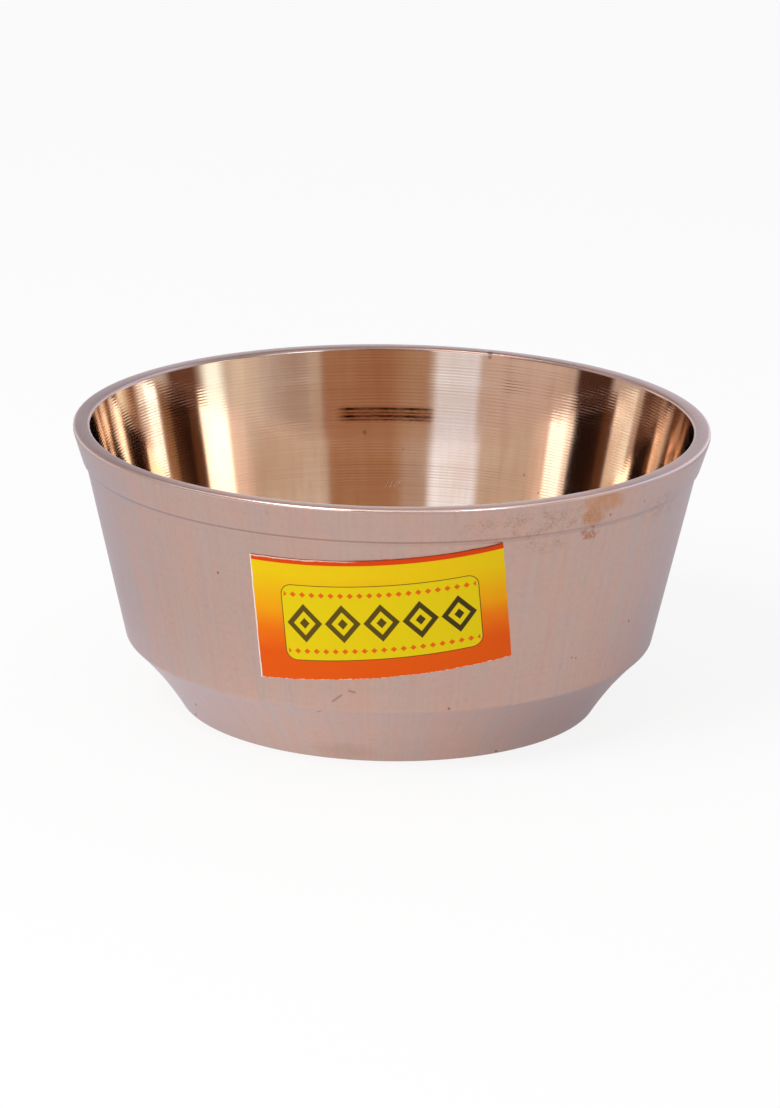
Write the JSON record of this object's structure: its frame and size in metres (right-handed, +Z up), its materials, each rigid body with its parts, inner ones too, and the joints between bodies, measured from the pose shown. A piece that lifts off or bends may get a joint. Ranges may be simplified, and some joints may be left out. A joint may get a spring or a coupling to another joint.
{
  "type": "bronze bowl",
  "caption": "Small turned bronze bowl: open round mouth, raised hoop under the rim, tapering wall and coved foot, with a paper label on the front.",
  "frame": {"origin": "centre of the foot, on the plane that the bowl stands on", "axes": "+Z up through the mouth; the label faces -Y; +X to the right seen from the label's side"},
  "size_m": [0.127, 0.127, 0.057],
  "materials": {
    "bronze": "turned bell-metal bronze: satin with fine lathe marks outside, polished with turned ridges inside",
    "label_paper": "printed paper label, semi-gloss, yellow shading to orange-red"
  },
  "bodies": {
    "root": {"bowl": "bronze", "label": "label_paper"}
  },
  "joints": []
}
